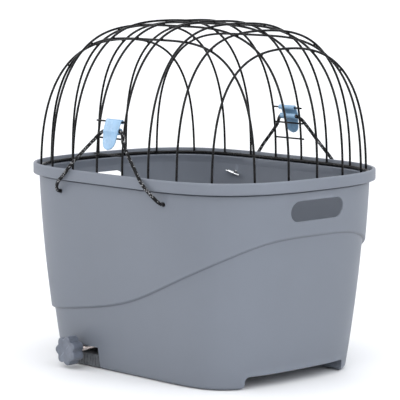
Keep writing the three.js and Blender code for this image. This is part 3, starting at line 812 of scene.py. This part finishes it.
def make_shell():
    outer_rings = wall_rings(0, FOOT_Z, 0.005, 0.9)
    # A shallow groove runs under the collar, whose lower edge is round.
    for up, out in COLLAR_GROOVE:
        outer_rings.append(wall(WALL_TOP_Z + up * MM, out * MM))
    outer_rings += rims(COLLAR_Z, 0, COLLAR_EDGE) + rims(RIM_Z, 0, RIM_ROUND)
    shell = loft("tub_shell", outer_rings)

    cavity_rings = wall_rings(-WALL_T, FOOT_Z + WALL_T, 0.004, 0.5)
    cavity_rings.append(wall(WALL_TOP_Z + 0.002, -0.0015))
    cavity_rings += rims(LEDGE_Z, LEDGE_IN, LEDGE_ROUND)
    cavity = loft("cavity", cavity_rings)
    front, rear = CHANNEL_X
    floor_half = TUNNEL_HALF + WALL_T
    floor = rounded_block("floor", -PAST, PAST, -floor_half, floor_half, BELOW, WALL_T, 0.004)
    over = rounded_block(
        "over", front - WALL_T, rear + WALL_T, -PAST, PAST, BELOW, CHANNEL_TOP + WALL_T, 0.004
    )
    boolean(cavity, "DIFFERENCE", floor, over)

    lip = loft("lip", rims(LEDGE_Z, LIP_T, LIP_FOOT) + rims(RIM_Z, LIP_T, LIP_ROUND))
    channel = rounded_block(
        "channel", front, rear, -CHANNEL_HALF, CHANNEL_HALF, BELOW, CHANNEL_TOP, 0.002
    )
    mouths = rounded_block("mouths", front, rear, -PAST, PAST, BELOW, MOUTH_TOP, 0.002)
    cutters = [cavity, tunnel_cutter(), channel, mouths, lip, slot_cutter(1), slot_cutter(-1)]
    for x in (-CORD_HOLE_X, CORD_HOLE_X):
        place = Matrix.Translation((x, 0, CORD_HOLE_Z)) @ Matrix.Rotation(math.pi / 2, 4, "X")
        cutters.append(lathe("hole", [(CORD_HOLE_R, -PAST), (CORD_HOLE_R, PAST)], place, 28))
    for name in ("jaw_screw_1", "jaw_screw_2"):
        x, y, _ = node_middle(name)
        profile = [(SCREW_HOLE_R, z) for z in SCREW_HOLE_Z]
        cutters.append(lathe("screw_hole", profile, Matrix.Translation((x, y, 0)), 24))
    boolean(shell, "DIFFERENCE", *cutters)
    smooth(shell, SHELL_SMOOTH_ANGLE)
    mark_crease_shade(shell)
    dress(shell, "tub", "shell_plastic", SHELL_GREY, "basket_shell")


make_shell()

# ---------- wire grid ----------

WIRE_R, RUNG_R, RING_R = 1.6 * MM, 1.2 * MM, 2.5 * MM
GRID = {"a": 0.2214, "b": 0.1692, "n": 4.2, "m": 2.75, "m_top": 2.15, "z": 0.2528, "height": 0.203}
SHRINK = {"px": 3.36, "rx": 2.76, "py": 2.87, "ry": 2.29}
LEAN = 0.055
CROSS_X = [0.0255, 0.0758, 0.1248, 0.1714]
LONG_Y = [-0.1001, -0.0507, 0.0, 0.0507, 0.1001]
RUNG_Z = [0.328, 0.306, 0.284]
RUNG_HALF = 0.028
RUNG_OFFSET = WIRE_R + RUNG_R + 0.45 * MM
RUNG_SUNK = 0.25 * MM  # how far the rungs go into their welds
WELD_R, FOOT_WELD_R, RUNG_WELD_R = 1.75 * MM, 2.1 * MM, 1.6 * MM
GRID_SMOOTH_ANGLE = 60


def grid_share(point_at, inset):
    """The height share at which the grid's surface reaches the point that point_at gives for it."""
    low, high = 0.0, 1.0
    for _ in range(HALVINGS):
        share = (low + high) / 2
        x, y = point_at(share)
        a = (GRID["a"] - inset) * max(1 - share ** SHRINK["rx"], 1e-9) ** (1 / SHRINK["px"])
        b = (GRID["b"] - inset) * max(1 - share ** SHRINK["ry"], 1e-9) ** (1 / SHRINK["py"])
        m = GRID["m"] + (GRID["m_top"] - GRID["m"]) * share
        if abs(x / a) ** GRID["n"] + abs(y / b) ** m < 1:
            low = share
        else:
            high = share
    return low


def arch_points(across, at, inset):
    """The line of an arch in the plane X = at if it runs across the grid, else Y = at."""
    side, plane = (GRID["m"], GRID["n"]) if across else (GRID["n"], GRID["m"])
    plane_half = (GRID["a"] if across else GRID["b"]) - inset
    side_half = (GRID["b"] if across else GRID["a"]) - inset
    reach = side_half * (1 - abs(at / plane_half) ** plane) ** (1 / side)
    foot = GRID["z"] + RING_R
    half = 40
    points = []
    for i in range(-half, half + 1):
        along = reach * math.copysign(1 - (1 - abs(i / half)) ** 3, i)

        def point_at(share):
            leant = at * (1 - LEAN * share * share)
            return (leant, along) if across else (along, leant)

        share = grid_share(point_at, inset)
        z = GRID["z"] + (GRID["height"] - inset) * share
        if z > foot + 0.008:
            points.append((*point_at(share), z))
    feet = [(at, s * reach, foot) if across else (s * reach, at, foot) for s in (-1, 1)]
    return curve_points([feet[0], *points, feet[1]], 4 * MM)


def leg_y(sign, z):
    """How far out the middle arches' legs are at height z."""
    points = np.array([p for p in arch_points(True, CROSS_X[0], 0) if p[1] * sign > 0])
    points = points[points[:, 2].argsort()]
    return float(np.interp(z, points[:, 2], points[:, 1]))


def weld(centre, radius=WELD_R):
    """A small bead of weld metal under the coat."""
    turns = np.linspace(-1.4, 1.4, 7)
    profile = [(radius * math.cos(t), radius * 0.9 * math.sin(t)) for t in turns]
    return lathe("weld", profile, Matrix.Translation(tuple(centre)), 10)


def make_grid():
    # The ring, whose section is round.
    path = outline(GRID["a"], GRID["b"], GRID["n"], GRID["m"], GRID["z"], 240)
    ahead = np.roll(path, -1, axis=0) - np.roll(path, 1, axis=0)
    out = np.stack([ahead[:, 1], -ahead[:, 0], np.zeros(len(path))], axis=1)
    out /= np.linalg.norm(out, axis=1)[:, None]
    up = np.array([0, 0, 1])
    rings = []
    for point, side in zip(path, out):
        rings.append([
            point + RING_R * (math.cos(t) * side + math.sin(t) * up)
            for t in np.arange(16) / 16 * TAU
        ])
    dress(loft("rim_wire", rings, closed=True), "grid", "coated_wire", WIRE, "grid_ring")

    cross = [arch_points(True, x, 0) for x in [-x for x in CROSS_X[::-1]] + CROSS_X]
    along = [arch_points(False, y, 2 * WIRE_R) for y in LONG_Y]
    for family, paths in (("cross", cross), ("long", along)):
        for i, path in enumerate(paths):
            parts = [tube("wire", path, WIRE_R)]
            parts += [weld(path[end] - up * 0.4 * MM, FOOT_WELD_R) for end in (0, -1)]
            if family == "long":
                for other in cross:
                    gaps = np.linalg.norm(path[:, None] - other[None], axis=2)
                    near, far = np.unravel_index(gaps.argmin(), gaps.shape)
                    parts.append(weld((path[near] + other[far]) / 2))
            piece = join(parts, f"{family}_wire_{i + 1}")
            smooth(piece, GRID_SMOOTH_ANGLE)
            dress(piece, "grid", "coated_wire", WIRE, f"{family}_arch_{i + 1}")

    for side, sign in (("left", -1), ("right", 1)):
        for i, z in enumerate(RUNG_Z):
            leg = leg_y(sign, z)
            y = leg + sign * (RUNG_OFFSET - RUNG_SUNK)
            path = [(x, y, z) for x in np.linspace(-RUNG_HALF, RUNG_HALF, 12)]
            parts = [tube("rung", path, RUNG_R)]
            for x in (-CROSS_X[0], CROSS_X[0]):
                parts.append(weld((x, leg + sign * WIRE_R, z), RUNG_WELD_R))
            piece = join(parts, f"rung_wire_{side}_{i + 1}")
            smooth(piece, GRID_SMOOTH_ANGLE)
            dress(piece, "grid", "coated_wire", WIRE, f"ladder_rung_{side}_{i + 1}")


make_grid()

# ---------- clip hooks ----------

# In millimetres.
HOOK = {"plate": 2.0, "rung_bore": 1.6, "cord_bore": 2.8, "out": 3.5, "drop": 12, "half": 15}
TONGUE = {"length": 24.5, "flare": 6.2, "taper": 2.7, "round": 11.5}
TAPER_FROM, TAPER_REACH = 4, 14  # below the rung, and past the drop
ROLL = (230.4, 0, 20)  # the arc round the rung, in degrees, and its points
CHANNEL_ARC = (126, 356.4, 20)  # the arc round the cord
HOOK_SMOOTH_ANGLE = 50


def ribbon(name, centreline, half_widths, thickness):
    """A rounded strip along a line of (outward, up), as wide as half_widths says."""
    line = np.array(centreline, float)
    ahead = np.gradient(line, axis=0)
    ahead /= np.linalg.norm(ahead, axis=1)[:, None]
    across = np.stack([-ahead[:, 1], ahead[:, 0]], axis=1)
    corner = thickness * 0.42
    section = []
    for sx, st, start in ((1, 1, 0), (-1, 1, 90), (-1, -1, 180), (1, -1, 270)):
        for turn in (0, 22.5, 45, 67.5, 90):
            t = math.radians(start + turn)
            section.append((sx, st, corner * math.cos(t), corner * math.sin(t)))
    rings = []
    for point, normal, half in zip(line, across, half_widths):
        ring = []
        for sx, st, dx, dt in section:
            width = sx * max(half - corner, 0) + dx
            depth = st * (thickness / 2 - corner) + dt
            place = point + normal * depth
            ring.append((width * MM, place[0] * MM, place[1] * MM))
        rings.append(ring)
    return loft(name, rings, smooth_angle=HOOK_SMOOTH_ANGLE)


def make_hook(side, sign):
    """A plate that curls round the rung, with a channel for the cord and a finger tongue."""
    t, half = HOOK["plate"], HOOK["half"]
    # From the roll's free edge over the rung, down the plate to the tongue's tip.
    line = arc(0, 0, HOOK["rung_bore"] + t / 2, *ROLL)
    plate_out = HOOK["out"] + HOOK["cord_bore"] + t / 2
    start = np.array((HOOK["rung_bore"] + t / 2, 0))
    knee = np.array((plate_out + 0.2, -HOOK["drop"]))
    line += [tuple(start + (knee - start) * s) for s in np.linspace(0, 1, 9)[1:]]
    tip_z = -HOOK["drop"] - TONGUE["length"]
    tip = np.array((plate_out + TONGUE["flare"], tip_z))
    pull = np.array((plate_out + 1.4, -HOOK["drop"] - TONGUE["length"] * 0.45))
    for s in np.linspace(0, 1, 25)[1:]:
        line.append(tuple((1 - s) ** 2 * knee + 2 * s * (1 - s) * pull + s * s * tip))
    widths = []
    for _, z in line:
        down = min(1, max(0, -z - TAPER_FROM) / (HOOK["drop"] + TAPER_REACH))
        taper = half - TONGUE["taper"] * (3 * down ** 2 - 2 * down ** 3)
        end = min(1, max(0, (z - tip_z) / TONGUE["round"]))
        widths.append(max(taper * math.sqrt(max(0, 1 - (1 - end) ** 2)), 0.6))
    plate = ribbon("plate", line, widths, t)
    channel_line = arc(HOOK["out"], -HOOK["drop"], HOOK["cord_bore"] + t / 2, *CHANNEL_ARC)
    channel = ribbon("channel", channel_line, [half - 0.4] * len(channel_line), t)
    piece = boolean(plate, "UNION", channel)
    if sign < 0:
        piece.data.transform(Matrix.Rotation(math.pi, 4, "Z"))
    rung = leg_y(sign, RUNG_Z[0]) + sign * RUNG_OFFSET
    piece.data.transform(Matrix.Translation((HOOK_X[side], rung, RUNG_Z[0])))
    smooth(piece, HOOK_SMOOTH_ANGLE)
    piece.name = f"hook_{side}_blue"
    dress(piece, f"hook_{side}", "hook_plastic", HOOK_BLUE, f"clip_hook_{side}")


make_hook("left", -1)
make_hook("right", 1)

# ---------- rack clamp ----------

ROD_X, ROD_Z, ROD_R = -0.093, 0.0075, 0.004
ROD_SIDES, STEPS_PER_TURN = 20, 8
ROD_CHAMFER = 0.8 * MM
PITCH = 1.25 * MM
THREAD_DEPTH = 0.62 * MM
KNOB_LOBES, KNOB_STEPS = 7, 196
KNOB_WAIST, KNOB_OUTER, KNOB_DEPTH = 16.5 * MM, 20.3 * MM, 18 * MM
LOBE_POWER = 0.7  # under 1 makes the lobes broad and the valleys narrow
KNOB_FRONT_ROUND, KNOB_BACK_ROUND = 1.7 * MM, 1.6 * MM
# Depth behind the front face and radius, in millimetres.
KNOB_FACE = ((0.3, 2), (0.3, 12), (0, 12.8))
KNOB_BOSS = ((18, 11), (18.5, 9.6), (19.2, 9))
KNOB_BORE = ((-0.6, 8.8), (0, 8.2), (0, 4.6), (-1, 4.3))  # behind the boss's end instead
KNOB_BORE_END = 10.7 * MM
JAW_ROUND, JAW_RIBS = 0.5 * MM, 11
RIB_HALF, RIB_DEPTH, RIB_ROUND = 1.3 * MM, 0.8 * MM, 0.35 * MM
SCREW_SHANK_R, SCREW_HEAD = 1.6 * MM, 2.6 * MM
CROSS_LONG, CROSS_THIN, CROSS_DEEP = 2.2 * MM, 0.5 * MM, 1.3 * MM


def along_y(y):
    """Places a turned body's axis on the rod's, with its local Z towards +Y from y."""
    return Matrix.Translation((ROD_X, y, ROD_Z)) @ Matrix.Rotation(-math.pi / 2, 4, "X")


def ring_on_rod(y, radius, steps):
    """A ring round the rod's axis. Its radius is one number or one for each step round it."""
    turns = np.arange(steps) / steps * TAU
    x, z = ROD_X + radius * np.cos(turns), ROD_Z + radius * np.sin(turns)
    return np.stack([x, np.full(steps, y), z], axis=1)


def make_rod():
    """An M8 rod with a real helical thread and chamfered ends."""
    low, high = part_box("threaded_rod")
    step = PITCH / STEPS_PER_TURN
    count = int((high[1] - low[1]) / step)
    rings = []
    for i in range(count + 1):
        y = low[1] + i * step
        end = min(1, 0.25 + 0.75 * min(y - low[1], high[1] - y) / PITCH)
        phase = (i / STEPS_PER_TURN - np.arange(ROD_SIDES) / ROD_SIDES) % 1
        depth = np.clip(1.25 * abs(2 * phase - 1) - 0.12, 0, 1)
        radius = ROD_R - THREAD_DEPTH * depth - ROD_CHAMFER * (1 - end)
        rings.append(ring_on_rod(y, radius, ROD_SIDES))
    piece = loft("rod_with_thread", rings, smooth_angle=75)
    dress(piece, "knob", "zinc_steel", ZINC, "threaded_rod")


def make_knob():
    """Seven shallow finger lobes, a flat front and a raised boss at the back."""
    low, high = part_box("star_knob")
    front, back = low[1], high[1]
    turns = np.arange(KNOB_STEPS) / KNOB_STEPS * TAU
    lobes = (0.5 - 0.5 * np.cos(KNOB_LOBES * turns)) ** LOBE_POWER
    star = KNOB_WAIST + (KNOB_OUTER - KNOB_WAIST) * lobes

    def ring(y, radius):
        return ring_on_rod(y, radius, KNOB_STEPS)

    rings = [ring(front + behind * MM, radius * MM) for behind, radius in KNOB_FACE]
    for away, up in rounding(0, 90, 6):
        rings.append(ring(front + KNOB_FRONT_ROUND * away, star - KNOB_FRONT_ROUND * up))
    rings += [ring(front + KNOB_DEPTH * s, star) for s in (0.35, 0.55, 0.75)]
    for away, up in rounding(0, 90, 6):
        rings.append(ring(front + KNOB_DEPTH - KNOB_BACK_ROUND * up, star - KNOB_BACK_ROUND * away))
    rings += [ring(front + behind * MM, radius * MM) for behind, radius in KNOB_BOSS]
    rings += [ring(back + behind * MM, radius * MM) for behind, radius in KNOB_BORE]
    rings.append(ring(front + KNOB_BORE_END, KNOB_BORE[-1][1] * MM))
    piece = loft("knob_star", rings)
    dress(piece, "knob", "knob_plastic", KNOB_GREY, "star_knob")


def copy_of(node, name):
    """A new object with a CAD node's mesh, in the row frame."""
    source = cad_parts[node]
    mesh = source.data.copy()
    mesh.transform(source.matrix_world)
    piece = new_object(name, mesh)
    bm = bmesh.new()
    bm.from_mesh(mesh)
    bmesh.ops.remove_doubles(bm, verts=bm.verts, dist=1e-6)
    bmesh.ops.dissolve_limit(bm, angle_limit=math.radians(1), verts=bm.verts, edges=bm.edges)
    bm.to_mesh(mesh)
    bm.free()
    return piece


def make_jaw(node, name, body, face_y):
    """A moulded jaw with soft edges and upright grip ribs on its outer end."""
    piece = bevel(copy_of(node, name), JAW_ROUND, 2)
    low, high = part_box(node)
    bottom, top = low[2] + 1.2 * MM, -0.2 * MM
    y0, y1 = face_y - RIB_DEPTH, face_y + RIB_DEPTH
    ribs = []
    for i in range(JAW_RIBS):
        x = low[0] + (high[0] - low[0]) * (i + 0.5) / JAW_RIBS
        ribs.append(
            rounded_block("rib", x - RIB_HALF, x + RIB_HALF, y0, y1, bottom, top, RIB_ROUND)
        )
    piece = join([piece, *ribs], name)
    smooth(piece, SMOOTH_ANGLE)
    dress(piece, body, "jaw_plastic", JAW_GREY, node)


def make_turned_parts():
    """The bush, the two collars and the end cap, all on the rod."""
    for node, name, slot, material, inner, body in (
        ("rod_bush", "bush", "bush_plastic", NYLON, 4.25, "tub"),
        ("rod_collar_outer", "collar_outer", "zinc_steel", ZINC, 4.05, "knob"),
        ("rod_collar_inner", "collar_inner", "zinc_steel", ZINC, 4.05, "knob"),
    ):
        low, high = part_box(node)
        outer = (high[2] - low[2]) / 2
        piece = washer(name, inner * MM, outer, high[1] - low[1], 0.4 * MM, along_y(low[1]))
        dress(piece, body, slot, material, node)

    low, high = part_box("rod_end_cap")
    radius, length = (high[2] - low[2]) / 2, high[1] - low[1]
    bore = 4.15 * MM
    profile = [(bore, length - 3 * MM), (bore, 0), (radius - 0.5 * MM, 0), (radius, 0.5 * MM)]
    for away, up in rounding(0, 80, 7):
        profile.append((radius - 2 * MM * away, length - 2 * MM * up))
    cap = lathe("end_cap", profile, along_y(low[1]))
    dress(cap, "knob", "jaw_plastic", JAW_GREY, "rod_end_cap")


def make_nut():
    """A square nut with a threaded bore's countersink on both faces."""
    low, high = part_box("jaw_nut")
    block = rounded_block("nut", low[0], high[0], low[1], high[1], low[2], high[2], 0.5 * MM)
    depth = high[1] - low[1]
    bore = [(4.9, -0.01), (4.2, 0.7), (4.2, depth / MM - 0.7), (4.9, depth / MM + 0.01)]
    bore = [(radius * MM, height * MM) for radius, height in bore]
    boolean(block, "DIFFERENCE", lathe("bore", bore, along_y(low[1]), 40))
    smooth(block, SMOOTH_ANGLE)
    dress(block, "jaw", "zinc_steel", ZINC, "jaw_nut")


def make_screw(index):
    """A pan-head screw with a cross recess."""
    node = f"jaw_screw_{index}"
    low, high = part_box(node)
    x, y, _ = node_middle(node)
    radius = (high[0] - low[0]) / 2
    under = high[2] - SCREW_HEAD
    profile = [(0.5 * MM, low[2]), (SCREW_SHANK_R, low[2] + SCREW_SHANK_R)]
    profile += [(SCREW_SHANK_R, under), (radius - 0.2 * MM, under)]
    for away, up in rounding(0, 85, 8):
        profile.append((radius * (1 - 0.35 * away), under + 0.6 * MM + 2 * MM * (1 - up)))
    head = lathe(f"screw_{index}", profile, Matrix.Translation((x, y, 0)), 40)
    z0, z1 = high[2] - CROSS_DEEP, high[2] + 1 * MM
    for dx, dy in ((CROSS_LONG, CROSS_THIN), (CROSS_THIN, CROSS_LONG)):
        cross = rounded_block("cross", x - dx, x + dx, y - dy, y + dy, z0, z1, 0)
        boolean(head, "DIFFERENCE", cross)
    smooth(head, SMOOTH_ANGLE)
    dress(head, "tub", "zinc_steel", ZINC, node)


make_rod()
make_knob()
make_jaw("fixed_jaw", "jaw_fixed", "tub", -0.136)
make_jaw("sliding_jaw", "jaw_sliding", "jaw", 0.096)
make_turned_parts()
make_nut()
make_screw(1)
make_screw(2)

# ---------- floor, light ----------

STAGE_FLAT_R, STAGE_CURVE_R, STAGE_TOP = 4.5, 1.5, 6.0
STAGE_STEPS = 96
GLOW_FROM, GLOW_TO, GLOW = 1.2, 3.5, 0.24  # the floor glows more towards the backdrop
SKY_COLOUR, SKY_STRENGTH = (0.94, 0.96, 1, 1), 0.78
LIGHTS_AIM = (0, 0, 0.2)
# Name, place, size of its square, watts and colour.
LIGHTS = (
    ("key", (1.6, -2.6, 2.3), 2.2, 38, (1, 1, 1)),
    ("rear_fill", (3.0, 0.4, 2.0), 2.0, 40, (0.9, 0.95, 1)),
    ("front_fill", (-2.4, -1.8, 1.6), 2.0, 16, (1, 1, 1)),
    ("top", (0, 0, 3.2), 2.4, 32, (1, 1, 1)),
)


def make_stage():
    """A pale floor that curves up into a backdrop all round, so every view has the same ground."""
    floor_z = FOOT_Z - 0.0005
    radii = [(0.01, 0), (1.0, 0), (2.5, 0), (STAGE_FLAT_R, 0)]
    for t in np.linspace(0.2, math.pi / 2, 8):
        out, up = math.sin(t), 1 - math.cos(t)
        radii.append((STAGE_FLAT_R + STAGE_CURVE_R * out, STAGE_CURVE_R * up))
    radii.append((STAGE_FLAT_R + STAGE_CURVE_R, STAGE_TOP))
    turns = np.arange(STAGE_STEPS) / STAGE_STEPS * TAU
    verts = [(r * math.cos(t), r * math.sin(t), floor_z + z) for r, z in radii for t in turns]
    faces = loft_faces(len(radii), STAGE_STEPS)[:-1]
    floor = mesh_object("floor_and_backdrop", verts, faces, 60)
    m = Nodes("pale_floor", (0.86, 0.86, 0.865), 0.6, specular=0.2)
    m.base(m.mix(m.noise(3, 3), (0.85, 0.85, 0.855), (0.88, 0.88, 0.885)))
    m.shader.inputs["Emission Color"].default_value = (1, 1, 1, 1)
    distance = m.add("ShaderNodeVectorMath", operation="LENGTH")
    m.tree.links.new(m.where, distance.inputs[0])
    glow = m.spread(distance.outputs["Value"], GLOW_FROM, GLOW_TO, 0, GLOW)
    m.tree.links.new(glow, m.shader.inputs["Emission Strength"])
    floor.data.materials.append(m.material)


def soft_light(name, place, size, watts, tint):
    data = bpy.data.lights.new(name, "AREA")
    data.shape = "RECTANGLE"
    data.size = data.size_y = size
    data.energy = watts
    data.color = tint
    lamp = new_object(name, data)
    lamp.location = place
    aim(lamp, Vector(LIGHTS_AIM) - Vector(place))


def make_light():
    world = bpy.data.worlds.new("studio")
    bpy.context.scene.world = world
    world.use_nodes = True
    background = world.node_tree.nodes["Background"]
    background.inputs["Color"].default_value = SKY_COLOUR
    background.inputs["Strength"].default_value = SKY_STRENGTH
    for light in LIGHTS:
        soft_light(*light)
    bpy.context.scene.view_settings.view_transform = "Standard"


make_stage()
make_light()
